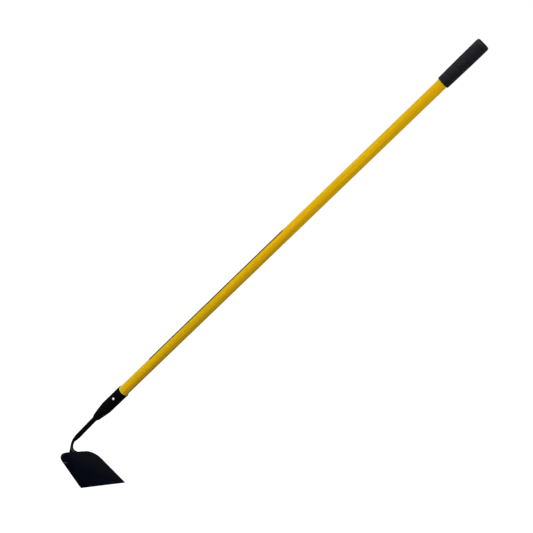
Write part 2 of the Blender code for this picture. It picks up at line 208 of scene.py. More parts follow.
# Fibreglass: streaks along the handle and how much they darken or lighten it.
FIBREGLASS_COLOURS = (
    (0.32, (0.63, 0.44, 0.0025)), (0.50, (0.73, 0.43, 0.0032)), (0.68, (0.80, 0.43, 0.0040)),
)
FIBREGLASS_ROUGHNESS = (0.34, 0.46)
FIBREGLASS_SPECULAR = 0.08
FIBREGLASS_TINT = (1.0, 0.70, 0.10, 1.0)
FINE_FIBRES = {"scale": 1.0, "detail": 3.0, "fineness": 0.6, "stretch": (900, 900, 9)}
FIBRE_BANDS = {"scale": 1.0, "detail": 3.0, "fineness": 0.6, "stretch": (330, 330, 4)}
BROAD_SHADES = {"scale": 1.0, "detail": 4.0, "fineness": 0.6, "stretch": (150, 150, 2.2)}
FIBRE_FACTORS = (0.86, 1.08)
BAND_FACTORS = (0.86, 1.10)
FIBRE_DEPTH = 0.00006

# Painted shade: brown lines along two sides of the handle, darkest at the ferrule. The side that each
# is on, where on the round it starts and is full, how strong they are at the ferrule, and the share of
# the handle over which they fade.
SHADE_LINE_SIDES = (Vector((-0.05, 1.0, 0.0)), Vector((0.64, -0.77, 0.0)))
SHADE_LINE_FACINGS = ((0.945, 0.99), (0.965, 0.995))
SHADE_LINE_STRENGTH = 0.80
SHADE_LINE_FADES_OVER = 0.60
SHADE_LINE_COLOUR = (0.16, 0.075, 0.002)

# Paint: its colours on the head, the blade and the weld, and the factors that make it patchy.
HEAD_PAINT = (0.0032, 0.0032, 0.0036)
BLADE_PAINT = (0.0012, 0.0019, 0.0066)
WELD_PAINT = (0.0022, 0.0024, 0.0045)
PAINT_FACTORS = ((0.30, 0.5), (0.52, 1.0), (0.75, 1.7))
PAINT_ROUGHNESS = (0.36, 0.52)
PAINT_SPECULAR = 0.004
PAINT_PATCHES = {"scale": 45.0, "detail": 5.0, "fineness": 0.6}
PAINT_GRAIN = {"scale": 1400.0, "detail": 2.0, "fineness": 0.5}
PAINT_GRAIN_DEPTH = 0.00003
WELD_GRAIN_DEPTH = 0.00008

# Painted highlights, in the blade's own frame: a pale streak along the top of the foot and a spot
# beside a shoulder.
FOOT_HIGHLIGHT = (
    Vector((0.0025, -0.0155, 0.0007)),
    Vector((0.0035, -0.0102, -0.0026)),
    Vector((0.0022, -0.0030, -0.0028)),
)
FOOT_HIGHLIGHT_RADIUS = 0.0016
SHOULDER_HIGHLIGHT = (Vector((0.0695, 0.0362, 0.0)), Vector((0.0605, 0.0385, 0.0)))
SHOULDER_HIGHLIGHT_RADIUS = 0.0011
PAINTED_HIGHLIGHT_PAINT = (0.085, 0.095, 0.120)
HIGHLIGHT_SOFTNESS_SHARE = 0.8
UNEVEN_EDGE = {"scale": 700.0, "detail": 4.0, "fineness": 0.55}

# Rivet steel: bare on the crown, where it is a painted highlight, and dark with paint round it.
RIVET_HIGHLIGHT_STEEL = ((0.35, (0.74, 0.74, 0.75)), (0.65, (0.92, 0.92, 0.93)))
RIVET_DARK = ((0.35, (0.008, 0.008, 0.009)), (0.65, (0.016, 0.016, 0.018)))
RIVET_ROUGHNESS = (0.22, 0.38)
RIVET_SPECULAR = 0.1
RIVET_MARKS = {"scale": 900.0, "detail": 4.0, "fineness": 0.7}
RIVET_MARK_DEPTH = 0.00002

# Foam: the reach of its painted line is in widths of the line. Painted light and shade: it is paler
# towards one side and darker away from it.
FOAM_COLOURS = (
    (0.30, (0.007, 0.007, 0.009)), (0.50, (0.012, 0.012, 0.017)), (0.72, (0.022, 0.019, 0.032)),
)
FOAM_ROUGHNESS = (0.62, 0.80)
FOAM_SPECULAR = 0.04
FOAM_MOTTLE = {"scale": 130.0, "detail": 6.0, "fineness": 0.65}
FOAM_PORES = {"scale": 1500.0, "detail": 3.0, "fineness": 0.6}
FOAM_PORE_DEPTH = 0.00012
FOAM_LINE_STRENGTH = 0.55
FOAM_LINE_REACH = (0.7, 1.8)
FOAM_LINE_COLOUR = (0.046, 0.044, 0.060)
PAINTED_LIGHT_SIDE = Vector((0.77, -0.64, 0.0))
PAINTED_LIGHT_FACINGS = (0.10, 0.95)
PAINTED_LIGHT_FACTORS = (0.72, 1.55)

# Resin, label film, and the wood and plastic inside.
RESIN_COLOURS = ((0.35, (0.76, 0.52, 0.05)), (0.65, (0.92, 0.70, 0.12)))
RESIN_ROUGHNESS = (0.3, 0.5)
RESIN_SPECULAR = 0.1
RESIN_BUBBLES = {"scale": 1800.0, "detail": 3.0, "fineness": 0.6}
RESIN_BUBBLE_DEPTH = 0.00004
FILM_COLOURS = ((0.35, (0.016, 0.018, 0.026)), (0.65, (0.024, 0.026, 0.036)))
FILM_ROUGHNESS = (0.38, 0.50)
FILM_SPECULAR = 0.05
FILM_GRAIN = {"scale": 600.0, "detail": 3.0, "fineness": 0.5}
FILM_GRAIN_DEPTH = 0.00002
WOOD_COLOURS = ((0.35, (0.40, 0.25, 0.12)), (0.65, (0.62, 0.44, 0.25)))
WOOD_ROUGHNESS = (0.6, 0.8)
WOOD_GRAIN = {"scale": 1.0, "detail": 6.0, "fineness": 0.6, "stretch": (420, 420, 18)}
PLASTIC_COLOURS = ((0.35, (0.018, 0.018, 0.018)), (0.65, (0.028, 0.028, 0.028)))
PLASTIC_ROUGHNESS = (0.45, 0.6)
PLASTIC_GRAIN = {"scale": 500.0, "detail": 3.0, "fineness": 0.5}

# Sockets of the node that mixes two colours.
MIX_COLOUR_INPUTS = (6, 7)
MIX_COLOUR_OUTPUT = 2

rim_height = ferrule_box[1].z
rivet_height = (rivet_box[0].z + rivet_box[1].z) / 2
grip_foot = grip_box[0].z
side_trees = {}


# Measures of the frame

def node_points(name):
    """Where a node's vertices lie."""
    return [vertex.co.copy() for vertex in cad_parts[name].data.vertices]


def side_tree(name):
    """A node's faces in a form that rays can be shot at."""
    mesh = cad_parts[name].data
    points = [vertex.co for vertex in mesh.vertices]
    return BVHTree.FromPolygons(points, [list(polygon.vertices) for polygon in mesh.polygons])


def outer_radius(name, height):
    """Distance from the handle's axis to the outer side of a turned node at a height."""
    if name not in side_trees:
        side_trees[name] = side_tree(name)
    start = Vector((RAY_ASIDE, -RAY_START, height))
    place = side_trees[name].ray_cast(start, Vector((0, 1, 0)))[0]
    if place is None:
        raise ValueError(f"{name} has no side at {height}")
    return math.hypot(place.x, place.y)


def rivet_direction():
    """Unit vector along the rivet, from the tail to the domed head, through the head's middle."""
    half = rivet_box[1].x / 2
    head = [point for point in node_points("rivet") if point.x > half]
    middle = sum(head, Vector()) / len(head)
    return Vector((middle.x, middle.y, 0)).normalized()


def rivet_matrix():
    """Rivet's own frame: Z along it, origin on the handle's axis."""
    turn = rivet_direction().to_track_quat("Z", "Y").to_matrix().to_4x4()
    return Matrix.Translation((0, 0, rivet_height)) @ turn


def rounded_normal(polygon):
    """Direction of a face, alike for all the parts of one flat side."""
    return tuple(round(value, BLADE_NORMAL_DIGITS) for value in polygon.normal)


def blade_matrix():
    """Blade's own frame: X across, Y down to the cutting edge, Z out of the inner face."""
    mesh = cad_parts["blade"].data
    area = {}
    for polygon in mesh.polygons:
        key = rounded_normal(polygon)
        if key[2] > 0:
            area[key] = area.get(key, 0) + polygon.area
    widest = max(area, key=area.get)
    facing = [polygon for polygon in mesh.polygons if rounded_normal(polygon) == widest]
    normal = sum((polygon.normal * polygon.area for polygon in facing), Vector()).normalized()
    corners = [mesh.vertices[index].co for polygon in facing for index in polygon.vertices]
    down = Vector((1, 0, 0)).cross(normal) * -1
    top = min(corners, key=lambda point: point.dot(down))
    turn = Matrix((Vector((1, 0, 0)), down, normal)).transposed()
    return Matrix.Translation((0, top.y, top.z)) @ turn.to_4x4()


# Meshes

def add_piece(name, bm, material, sharp_angle=SHARP_ANGLE):
    """Links a mesh as an object with smooth faces, sharp edges and a material."""
    bmesh.ops.recalc_face_normals(bm, faces=bm.faces)
    mesh = bpy.data.meshes.new(name)
    bm.to_mesh(mesh)
    bm.free()
    mesh.shade_smooth()
    mesh.set_sharp_from_angle(angle=math.radians(sharp_angle))
    mesh.materials.append(material)
    piece = bpy.data.objects.new(name, mesh)
    bpy.context.scene.collection.objects.link(piece)
    return piece


def stand_for(piece, node):
    """The piece rides on the hoe's body and is shown in place of a node."""
    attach(piece, "root")
    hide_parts(node)


def turned_mesh(profile, sides):
    """Turns (radius, height) points round Z. A profile that starts off the axis is closed."""
    bm = bmesh.new()
    verts = [bm.verts.new((radius, 0, height)) for radius, height in profile]
    edges = [bm.edges.new(pair) for pair in zip(verts, verts[1:])]
    if profile[0][0] > 0:
        edges.append(bm.edges.new((verts[-1], verts[0])))
    bmesh.ops.spin(
        bm, geom=verts + edges, cent=(0, 0, 0), axis=(0, 0, 1),
        angle=math.tau, steps=sides, use_merge=True,
    )
    bmesh.ops.remove_doubles(bm, verts=bm.verts, dist=MERGE_WITHIN)
    return bm


def skin_rings(bm, rings):
    """Joins closed rings of verts by four-sided faces, and closes both ends."""
    for ring, following in zip(rings, rings[1:]):
        next_in_ring = ring[1:] + ring[:1]
        next_in_following = following[1:] + following[:1]
        for corners in zip(ring, next_in_ring, next_in_following, following):
            bm.faces.new(corners)
    bm.faces.new(rings[0])
    bm.faces.new(rings[-1])


def steps_between(low, high, pitch):
    """Values from low to high in equal steps of about the pitch, both ends included."""
    count = max(int(round((high - low) / pitch)), 1)
    return [low + (high - low) * step / count for step in range(count + 1)]


def quarter_turn(steps):
    """Angles in radians from 0 to a quarter turn, both included."""
    return [math.radians(90.0 * step / steps) for step in range(steps + 1)]


def applied(piece):
    """Bakes a piece's modifiers into its mesh."""
    bpy.context.view_layer.update()
    evaluated = piece.evaluated_get(bpy.context.evaluated_depsgraph_get())
    mesh = bpy.data.meshes.new_from_object(evaluated)
    piece.modifiers.clear()
    piece.data = mesh
    return piece


def mesh_of_node(name):
    """A node's mesh with its split corners merged."""
    bm = bmesh.new()
    bm.from_mesh(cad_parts[name].data)
    bmesh.ops.remove_doubles(bm, verts=bm.verts, dist=MERGE_WITHIN)
    return bm


# Shader nodes

def new_material(name, **values):
    """A material whose shader has these values, by the names of its sockets."""
    material = bpy.data.materials.new(name)
    material.use_nodes = True
    shader = material.node_tree.nodes["Principled BSDF"]
    for socket, value in values.items():
        shader.inputs[socket.replace("_", " ")].default_value = value
    return material, material.node_tree, shader


def add_node(tree, kind, inputs=None, **settings):
    """Adds a shader node. An input is a value or the socket that feeds it."""
    node = tree.nodes.new(kind)
    for key, value in settings.items():
        setattr(node, key, value)
    for key, value in (inputs or {}).items():
        if isinstance(value, bpy.types.NodeSocket):
            tree.links.new(value, node.inputs[key])
        else:
            node.inputs[key].default_value = value
    return node


def math_step(tree, operation, *values):
    """Result of a step of arithmetic on values or sockets."""
    node = add_node(tree, "ShaderNodeMath", dict(enumerate(values)), operation=operation)
    return node.outputs[0]


def vector_step(tree, operation, *vectors):
    """Result of a step on vectors: a number for a dot product or a distance, else a vector."""
    node = add_node(tree, "ShaderNodeVectorMath", dict(enumerate(vectors)), operation=operation)
    return node.outputs["Value" if operation in ("DOT_PRODUCT", "DISTANCE") else "Vector"]


def scaled(tree, vector, factor):
    """A vector or colour times a factor."""
    inputs = {0: vector, "Scale": factor}
    node = add_node(tree, "ShaderNodeVectorMath", inputs, operation="SCALE")
    return node.outputs["Vector"]


def object_place(tree):
    """Where a point of the surface lies in its object."""
    return add_node(tree, "ShaderNodeTexCoord").outputs["Object"]


def object_height(tree):
    """How high a point of the surface lies, from the part's origin."""
    return add_node(tree, "ShaderNodeSeparateXYZ", {"Vector": object_place(tree)}).outputs["Z"]


def noise_value(tree, scale, detail, fineness, stretch=(1, 1, 1)):
    """Noise in object coordinates that are first stretched by a scale along each axis."""
    mapping = {"Vector": object_place(tree), "Scale": stretch}
    place = add_node(tree, "ShaderNodeMapping", mapping).outputs["Vector"]
    node = add_node(tree, "ShaderNodeTexNoise", {
        "Vector": place, "Scale": scale, "Detail": detail, "Roughness": fineness,
    })
    return node.outputs["Fac"]


def colour_ramp(tree, value, stops):
    """The colour of a value among (position, colour) stops."""
    ramp = add_node(tree, "ShaderNodeValToRGB", {"Fac": value})
    elements = ramp.color_ramp.elements
    while len(elements) < len(stops):
        elements.new(0.5)
    for element, (position, colour) in zip(elements, stops):
        element.position = position
        element.color = (*colour, 1.0)
    return ramp.outputs["Color"]


def value_range(tree, value, low, high, start=NOISE_LOW, end=NOISE_HIGH):
    """Runs from low to high as the value runs from start to end, or over most of a noise."""
    node = add_node(tree, "ShaderNodeMapRange", {
        "Value": value, "From Min": start, "From Max": end, "To Min": low, "To Max": high,
    })
    return node.outputs["Result"]


def mixed_colour(tree, share, first, second):
    """The first colour at a share of 0 and the second at 1. Each is a value or a socket."""
    mix = add_node(tree, "ShaderNodeMix", {"Factor": share}, data_type="RGBA")
    for index, colour in zip(MIX_COLOUR_INPUTS, (first, second)):
        if isinstance(colour, bpy.types.NodeSocket):
            tree.links.new(colour, mix.inputs[index])
        else:
            mix.inputs[index].default_value = (*colour, 1.0)
    return mix.outputs[MIX_COLOUR_OUTPUT]


def facing_share(tree, direction):
    """1 on the side of the handle towards a level direction, 0 at right angles to it."""
    level = vector_step(tree, "MULTIPLY", object_place(tree), Vector((1, 1, 0)))
    outward = vector_step(tree, "NORMALIZE", level)
    return vector_step(tree, "DOT_PRODUCT", outward, direction.normalized())


def near_segment(tree, start, end, radius, softness):
    """1 within a radius of the line from start to end and 0 away from it, with an uneven edge."""
    line = end - start
    offset = vector_step(tree, "SUBTRACT", object_place(tree), start)
    along = vector_step(tree, "DOT_PRODUCT", offset, line / line.length_squared)
    along = add_node(tree, "ShaderNodeClamp", {"Value": along}).outputs["Result"]
    away = vector_step(tree, "DISTANCE", offset, scaled(tree, line, along))
    edge_noise = noise_value(tree, **UNEVEN_EDGE)
    away = math_step(tree, "ADD", away, value_range(tree, edge_noise, -softness / 2, softness / 2))
    return value_range(tree, away, 1.0, 0.0, radius - softness, radius + softness)


def seen_share(tree):
    """1 where the camera, gloss or glass sees a surface, 0 where light from it falls on another."""
    rays = add_node(tree, "ShaderNodeLightPath").outputs
    seen = math_step(tree, "MAXIMUM", rays["Is Camera Ray"], rays["Is Glossy Ray"])
    return math_step(tree, "MAXIMUM", seen, rays["Is Transmission Ray"])


def dress(tree, shader, colour, roughness, grain=None, depth=0.0):
    """Feeds a shader its colour, roughness and, where there is a depth, the relief of its grain."""
    tree.links.new(colour, shader.inputs["Base Color"])
    tree.links.new(roughness, shader.inputs["Roughness"])
    if depth:
        bump = add_node(tree, "ShaderNodeBump", {"Height": grain, "Distance": depth, "Strength": 1.0})
        tree.links.new(bump.outputs["Normal"], shader.inputs["Normal"])


def grained(name, colours, roughness, grain, depth=0.0, **values):
    """A material whose colour, roughness and relief all follow one noise."""
    material, tree, shader = new_material(name, **values)
    value = noise_value(tree, **grain)
    colour = colour_ramp(tree, value, colours)
    dress(tree, shader, colour, value_range(tree, value, *roughness), value, depth)
    return material


# Materials

def fibreglass():
    """Pulled rod: fibres along its length under a satin resin skin, and two brown lines of painted
    shade along its sides.
    """
    material, tree, shader = new_material(
        "yellow_fibreglass", Specular_IOR_Level=FIBREGLASS_SPECULAR, Specular_Tint=FIBREGLASS_TINT,
    )
    fine = noise_value(tree, **FINE_FIBRES)
    bands = noise_value(tree, **FIBRE_BANDS)
    broad = noise_value(tree, **BROAD_SHADES)
    streaks = value_range(tree, fine, *FIBRE_FACTORS)
    banding = value_range(tree, bands, *BAND_FACTORS)
    shade = math_step(tree, "MULTIPLY", streaks, banding)
    colour = scaled(tree, colour_ramp(tree, broad, FIBREGLASS_COLOURS), shade)
    # Painted shade: brown lines near two sides, strongest at the ferrule and fading upward.
    faded_at = rim_height + SHADE_LINE_FADES_OVER * (grip_foot - rim_height)
    strength = value_range(tree, object_height(tree), SHADE_LINE_STRENGTH, 0.0, rim_height, faded_at)
    for side, facings in zip(SHADE_LINE_SIDES, SHADE_LINE_FACINGS):
        shade_line = value_range(tree, facing_share(tree, side), 0.0, 1.0, *facings)
        colour = mixed_colour(tree, math_step(tree, "MULTIPLY", shade_line, strength), colour, SHADE_LINE_COLOUR)
    roughness = value_range(tree, broad, *FIBREGLASS_ROUGHNESS)
    dress(tree, shader, colour, roughness, fine, FIBRE_DEPTH)
    return material


def black_enamel(name, paint, highlight_points=(), highlight_radius=0.0, grain_depth=PAINT_GRAIN_DEPTH):
    """Black baked paint with a faint orange peel, with a painted highlight along a line of points
    where they are given.
    """
    material, tree, shader = new_material(name, Specular_IOR_Level=PAINT_SPECULAR)
    patches = noise_value(tree, **PAINT_PATCHES)
    grain = noise_value(tree, **PAINT_GRAIN)
    stops = [(place, [factor * channel for channel in paint]) for place, factor in PAINT_FACTORS]
    colour = colour_ramp(tree, patches, stops)
    # Painted highlight: the paint turns pale along each line between the given points.
    for start, end in zip(highlight_points, highlight_points[1:]):
        near = near_segment(tree, start, end, highlight_radius, HIGHLIGHT_SOFTNESS_SHARE * highlight_radius)
        colour = mixed_colour(tree, near, colour, PAINTED_HIGHLIGHT_PAINT)
    roughness = value_range(tree, patches, *PAINT_ROUGHNESS)
    dress(tree, shader, colour, roughness, grain, grain_depth)
    return material


def rivet_steel():
    """Rivet steel with a painted highlight: bright bare metal on the upper crown of each head, dark
    with paint round it, and a painted reflection that makes the paint paler below the middle.
    """
    material, tree, shader = new_material("bright_steel", Specular_IOR_Level=RIVET_SPECULAR)
    marks = noise_value(tree, **RIVET_MARKS)
    along = rivet_direction()
    aside = Vector((0, 0, 1)).cross(along)
    # Painted highlight: bright bare metal on the crown, set above the middle where the highlight
    # falls.
    centre = Vector((0, 0, rivet_height + HIGHLIGHT_CROWN_SHIFT)) + aside * HIGHLIGHT_CROWN_ASIDE
    reach = along * 2 * outer_radius("ferrule", centre.z)
    highlight_crown = near_segment(tree, centre - reach, centre + reach, HIGHLIGHT_CROWN_RADIUS, HIGHLIGHT_CROWN_SOFTNESS)
    # Painted reflection: the paint is paler below the middle of each head.
    low, high = (rivet_height - below for below in PAINTED_REFLECTION_BELOW_CENTRE)
    painted_reflection = value_range(tree, object_height(tree), 1.0, 0.0, low, high)
    painted = mixed_colour(tree, painted_reflection, colour_ramp(tree, marks, RIVET_DARK), PAINTED_REFLECTION_COLOUR)
    colour = mixed_colour(tree, highlight_crown, painted, colour_ramp(tree, marks, RIVET_HIGHLIGHT_STEEL))
    tree.links.new(highlight_crown, shader.inputs["Metallic"])
    roughness = value_range(tree, marks, *RIVET_ROUGHNESS)
    dress(tree, shader, colour, roughness, marks, RIVET_MARK_DEPTH)
    return material


def cushion_foam():
    """Closed foam rubber: charcoal with a blue-violet mottle, fine pores and a faint line."""
    material, tree, shader = new_material("charcoal_cushion", Specular_IOR_Level=FOAM_SPECULAR)
    mottle = noise_value(tree, **FOAM_MOTTLE)
    pores = noise_value(tree, **FOAM_PORES)
    line_height = grip_box[1].z - GRIP_LINE_FROM_END
    from_line = math_step(tree, "SUBTRACT", object_height(tree), line_height)
    from_line = math_step(tree, "ABSOLUTE", from_line)
    near, far = (share * GRIP_LINE_WIDTH for share in FOAM_LINE_REACH)
    line = value_range(tree, from_line, FOAM_LINE_STRENGTH, 0.0, near, far)
    colour = mixed_colour(tree, line, colour_ramp(tree, mottle, FOAM_COLOURS), FOAM_LINE_COLOUR)
    # Painted light and shade: the foam is paler on the side towards the key light and darker away from
    # it.
    facing = facing_share(tree, PAINTED_LIGHT_SIDE)
    colour = scaled(tree, colour, value_range(tree, facing, *PAINTED_LIGHT_FACTORS, *PAINTED_LIGHT_FACINGS))
    roughness = value_range(tree, mottle, *FOAM_ROUGHNESS)
    dress(tree, shader, colour, roughness, pores, FOAM_PORE_DEPTH)
    return material


def pale_resin():
    """Set resin, paler than the handle, with small bubbles."""
    return grained(
        "pale_resin", RESIN_COLOURS, RESIN_ROUGHNESS, RESIN_BUBBLES, RESIN_BUBBLE_DEPTH,
        Specular_IOR_Level=RESIN_SPECULAR,
    )


def label_film():
    """Plain dark film with a faint satin grain."""
    return grained(
        "dark_label_film", FILM_COLOURS, FILM_ROUGHNESS, FILM_GRAIN, FILM_GRAIN_DEPTH,
        Specular_IOR_Level=FILM_SPECULAR,
    )


def hidden_wood():
    """Bare wood of the core dowel, its grain along the handle."""
    return grained("core_wood", WOOD_COLOURS, WOOD_ROUGHNESS, WOOD_GRAIN)


def hidden_plastic():
    """Moulded plastic of the end plug."""
    return grained("black_plastic", PLASTIC_COLOURS, PLASTIC_ROUGHNESS, PLASTIC_GRAIN)


# Pieces

def make_handle(material):
    """The tube as a closed rod, since its bore shows nowhere."""
    low, high = handle_box[0].z, handle_box[1].z
    heights = [low] + steps_between(rim_height, grip_foot, PLAIN_PITCH) + [high]
    profile = [(0, low)]
    for height in heights:
        measured_at = min(max(height, low + HANDLE_INSET), high - HANDLE_INSET)
        profile.append((outer_radius("handle_tube", measured_at), height))
    profile.append((0, high))
    handle = add_piece("handle", turned_mesh(profile, ROUND_SIDES), material)
    stand_for(handle, "handle_tube")


def make_ferrule(material):
    """The sleeve's outer side from the frame, a thin wall and a flat seat for each rivet head."""
    low, high = ferrule_box[0].z + FERRULE_INSET, ferrule_box[1].z - FERRULE_INSET
    heights = steps_between(low, high, PROFILE_PITCH)
    outside = [(outer_radius("ferrule", height), height) for height in heights]
    bore = outer_radius("handle_tube", handle_box[0].z + PLAY) + PLAY
    narrowest = outside[0][0] - FERRULE_NOSE_EDGE
    inside = [
        (max(min(radius - FERRULE_WALL, bore), narrowest), height) for radius, height in outside
    ]
    inside[-1] = (bore, high)
    profile = outside + inside[::-1]
    ferrule = add_piece("ferrule_sleeve", turned_mesh(profile, ROUND_SIDES), material)
    for side in (1, -1):
        cut_rivet_seat(ferrule, side)
    stand_for(ferrule, "ferrule")


def cut_rivet_seat(ferrule, side):
    """Flattens the sleeve under the rivet's head, on side 1, or under its tail, on side -1."""
    sleeve = outer_radius("ferrule", rivet_height)
    near, far = side * (sleeve - SEAT_DEPTH), side * 2 * sleeve
    wide = (rivet_box[1].z - rivet_box[0].z) / 2 + SEAT_MARGIN
    profile = [(0, near), (wide, near), (wide, far), (0, far)]
    cutter = add_piece("seat_cutter", turned_mesh(profile, RIVET_SIDES), None)
    cutter.matrix_world = rivet_matrix()
    boolean = ferrule.modifiers.new("seat", "BOOLEAN")
    boolean.solver = "EXACT"
    boolean.object = cutter
    applied(ferrule)
    bpy.data.objects.remove(cutter, do_unlink=True)


def make_resin(material):
    """Pale fillet between the handle and the ferrule's rim."""
    handle = outer_radius("handle_tube", rim_height + PLAY)
    wide = 2 * RESIN_LEG
    profile = [(handle, rim_height), (handle + wide, rim_height)]
    for angle in quarter_turn(SMALL_CURVE_STEPS):
        radius = handle + wide * (1 - math.sin(angle))
        profile.append((radius, rim_height + RESIN_LEG + RESIN_RISE * (1 - math.cos(angle))))
    mesh = turned_mesh(profile, ROUND_SIDES)
    resin = add_piece("resin_fillet", mesh, material, SHARP_ON_SMALL_PIECES)
    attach(resin, "root")


def make_rivet(material):
    """Domed head, shank and peened tail with a flat end."""
    to_rivet = rivet_matrix().inverted()
    local = [to_rivet @ point for point in node_points("rivet")]
    head = max(math.hypot(point.x, point.y) for point in local if point.z > 0)
    tail = max(math.hypot(point.x, point.y) for point in local if point.z < 0)
    head_top = max(point.z for point in local)
    tail_top = min(point.z for point in local)
    seat = outer_radius("ferrule", rivet_height) - SEAT_DEPTH + PLAY
    tail_dome = [(tail * TAIL_FLAT_SHARE, tail_top)] + dome(tail, -seat, tail_top)[::-1]
    profile = [(0, tail_top)] + tail_dome + dome(head, seat, head_top) + [(0, head_top)]
    mesh = turned_mesh(profile, RIVET_SIDES)
    rivet = add_piece("rivet_set", mesh, material, SHARP_ON_SMALL_PIECES)
    rivet.data.transform(rivet_matrix())
    stand_for(rivet, "rivet")


def dome(radius, base, top):
    """Profile of a low dome, from its rim up to the last point before its top."""
    rise = top - base
    rim = base + DOME_RIM_SHARE * rise
    points = [(radius * DOME_FOOT_SHARE, base), (radius, rim)]
    for angle in quarter_turn(DOME_STEPS)[1:-1]:
        points.append((radius * math.cos(angle), rim + (top - rim) * math.sin(angle)))
    return points


def set_foot_aside(verts):
    """Moves the foot and its weld across the blade, and eases what is above them back in line."""
    to_world = blade_matrix()
    to_blade = to_world.inverted()
    for vertex in verts:
        place = to_blade @ vertex.co
        above = math.hypot(min(place.y, 0), place.z)
        share = max(1 - above / FOOT_ASIDE_OVER, 0)
        place.x += FOOT_ASIDE * share * share * (3 - 2 * share)
        vertex.co = to_world @ place


def make_neck(material):
    """The gooseneck, smoothed between the frame's sections."""
    bm = mesh_of_node("gooseneck")
    bmesh.ops.dissolve_limit(
        bm, angle_limit=math.radians(NECK_FLAT_ANGLE), verts=bm.verts, edges=bm.edges,
    )
    bmesh.ops.join_triangles(
        bm, faces=bm.faces, angle_face_threshold=math.radians(NECK_QUAD_FACE_ANGLE),
        angle_shape_threshold=math.radians(NECK_QUAD_SHAPE_ANGLE),
    )
    neck = add_piece("gooseneck_rod", bm, material, SHARP_ON_SMOOTH_PIECES)
    smooth = neck.modifiers.new("smooth", "SUBSURF")
    smooth.levels = NECK_SUBDIVISIONS
    smooth.render_levels = NECK_SUBDIVISIONS
    applied(neck)
    set_foot_aside(neck.data.vertices)
    neck.data.shade_smooth()
    stand_for(neck, "gooseneck")


def make_blade(material):
    """The plate, with its edges rounded off."""
    to_world = blade_matrix()
    bm = mesh_of_node("blade")
    bmesh.ops.transform(bm, matrix=to_world.inverted(), verts=bm.verts)
    bmesh.ops.dissolve_limit(
        bm, angle_limit=math.radians(BLADE_FLAT_ANGLE), verts=bm.verts, edges=bm.edges,
    )
    blade = add_piece("blade_plate", bm, material, SHARP_ON_PLATE)
    bevel = blade.modifiers.new("edges", "BEVEL")
    bevel.width = BLADE_EDGE_ROUND
    bevel.segments = BLADE_EDGE_SEGMENTS
    bevel.limit_method = "ANGLE"
    bevel.angle_limit = math.radians(BLADE_EDGE_ANGLE)
    applied(blade)
    blade.data.transform(to_world)
    blade.data.shade_smooth()
    blade.data.set_sharp_from_angle(angle=math.radians(SHARP_ON_ROUNDED_PLATE))
    stand_for(blade, "blade")


def make_weld(material):
    """Rippled bead round the foot, with a lump where each end meets the blade's top edge."""
    to_world = blade_matrix()
    to_blade = to_world.inverted()
    local = [to_blade @ point for point in node_points("weld_bead")]
    inner = max(point.x for point in local) - WELD_LEG
    end = max(point.y for point in local) - WELD_LEG
    above = min(point.y for point in local)
    back = max(point.z for point in local if point.y > end / 2)
    front = max(point.z for point in local)
    route = weld_route(inner, end, above)
    bm = bmesh.new()
    rings = []
    travelled = 0.0
    for index, point in enumerate(route):
        before = route[max(index - 1, 0)]
        after = route[min(index + 1, len(route) - 1)]
        travelled += (point - before).length
        outward = Vector((0, 0, 1)).cross((after - before).normalized())
        full = rippled_leg(travelled)
        size = full * end_share(min(index, len(route) - 1 - index) * WELD_PITCH)
        point = point + outward * ((full - size) / 2)
        ring = weld_ring(point, outward, size, front if point.y < -PLAY / 2 else back, back)
        rings.append([bm.verts.new(to_world @ place) for place in ring])
    skin_rings(bm, rings)
    set_foot_aside(bm.verts)
    weld = add_piece("weld_fillet", bm, material, SHARP_ON_SMALL_PIECES)
    stand_for(weld, "weld_bead")


def weld_route(inner, end, above):
    """Where the bead runs in the blade's own frame: down one side, across and up the other."""
    corner = WELD_LEG / 2
    low_end, high_end = (above * share for share in WELD_END_SHARES)
    route = [Vector((-inner, y, 0)) for y in steps_between(low_end, end - corner, WELD_PITCH)]
    for angle in quarter_turn(CURVE_STEPS)[1:-1]:
        x = -inner + corner * (1 - math.cos(angle))
        route.append(Vector((x, end - corner + corner * math.sin(angle), 0)))
    route += [Vector((x, end, 0)) for x in steps_between(-inner + corner, 0, WELD_PITCH)]
    route += [Vector((-point.x, point.y, 0)) for point in reversed(route[:-1])]
    route += [Vector((inner, y, 0)) for y in steps_between(low_end, high_end, WELD_PITCH)[1:]]
    return route


def rippled_leg(travelled):
    """Leg of the bead after a length of it, a little less between two ripples."""
    wave = abs(math.sin(math.pi * travelled / WELD_RIPPLE_PITCH))
    return WELD_LEG - WELD_RIPPLE * (1 - wave)


def end_share(from_end):
    """Share of the leg where the bead rounds off. Its last ring is small but no point."""
    short_of_round = 1 - min((from_end + WELD_END_LEFT) / WELD_END_ROUND, 1.0)
    return math.sqrt(1 - short_of_round ** 2)


def weld_ring(point, outward, size, top, back):
    """Section of the bead: a bulging quarter round in the corner between blade and foot."""
    ring = [Vector((point.x, point.y, top))]
    for angle in quarter_turn(CURVE_STEPS):
        bulge = size * (1 - WELD_BULGE + WELD_BULGE * math.sin(2 * angle))
        place = Vector((point.x, point.y, back if angle else top))
        rise = Vector((0, 0, -bulge * math.sin(angle)))
        ring.append(place + outward * (bulge * math.cos(angle)) + rise)
    return ring


def make_grip(material):
    """Foam sleeve with a soft skin, a faint line near its closed end and rounded edges."""
    bore = outer_radius("handle_tube", grip_foot + PLAY) + PLAY
    bm = turned_mesh(grip_profile(bore), ROUND_SIDES)
    for vertex in bm.verts:
        radius = math.hypot(vertex.co.x, vertex.co.y)
        if radius > bore + GRIP_SKIN_FROM_BORE and vertex.co.z < grip_box[1].z - MERGE_WITHIN:
            lumps = noise.fractal(
                vertex.co * GRIP_PORE_FREQUENCY,
                GRIP_PORE_DIMENSION, GRIP_PORE_LACUNARITY, GRIP_PORE_OCTAVES,
            )
            sink = GRIP_PORE_DEPTH * (lumps - 1.0)
            vertex.co.x *= 1 + sink / radius
            vertex.co.y *= 1 + sink / radius
    grip = add_piece("grip_sleeve", bm, material, SHARP_ON_SMOOTH_PIECES)
    stand_for(grip, "cushion_grip")


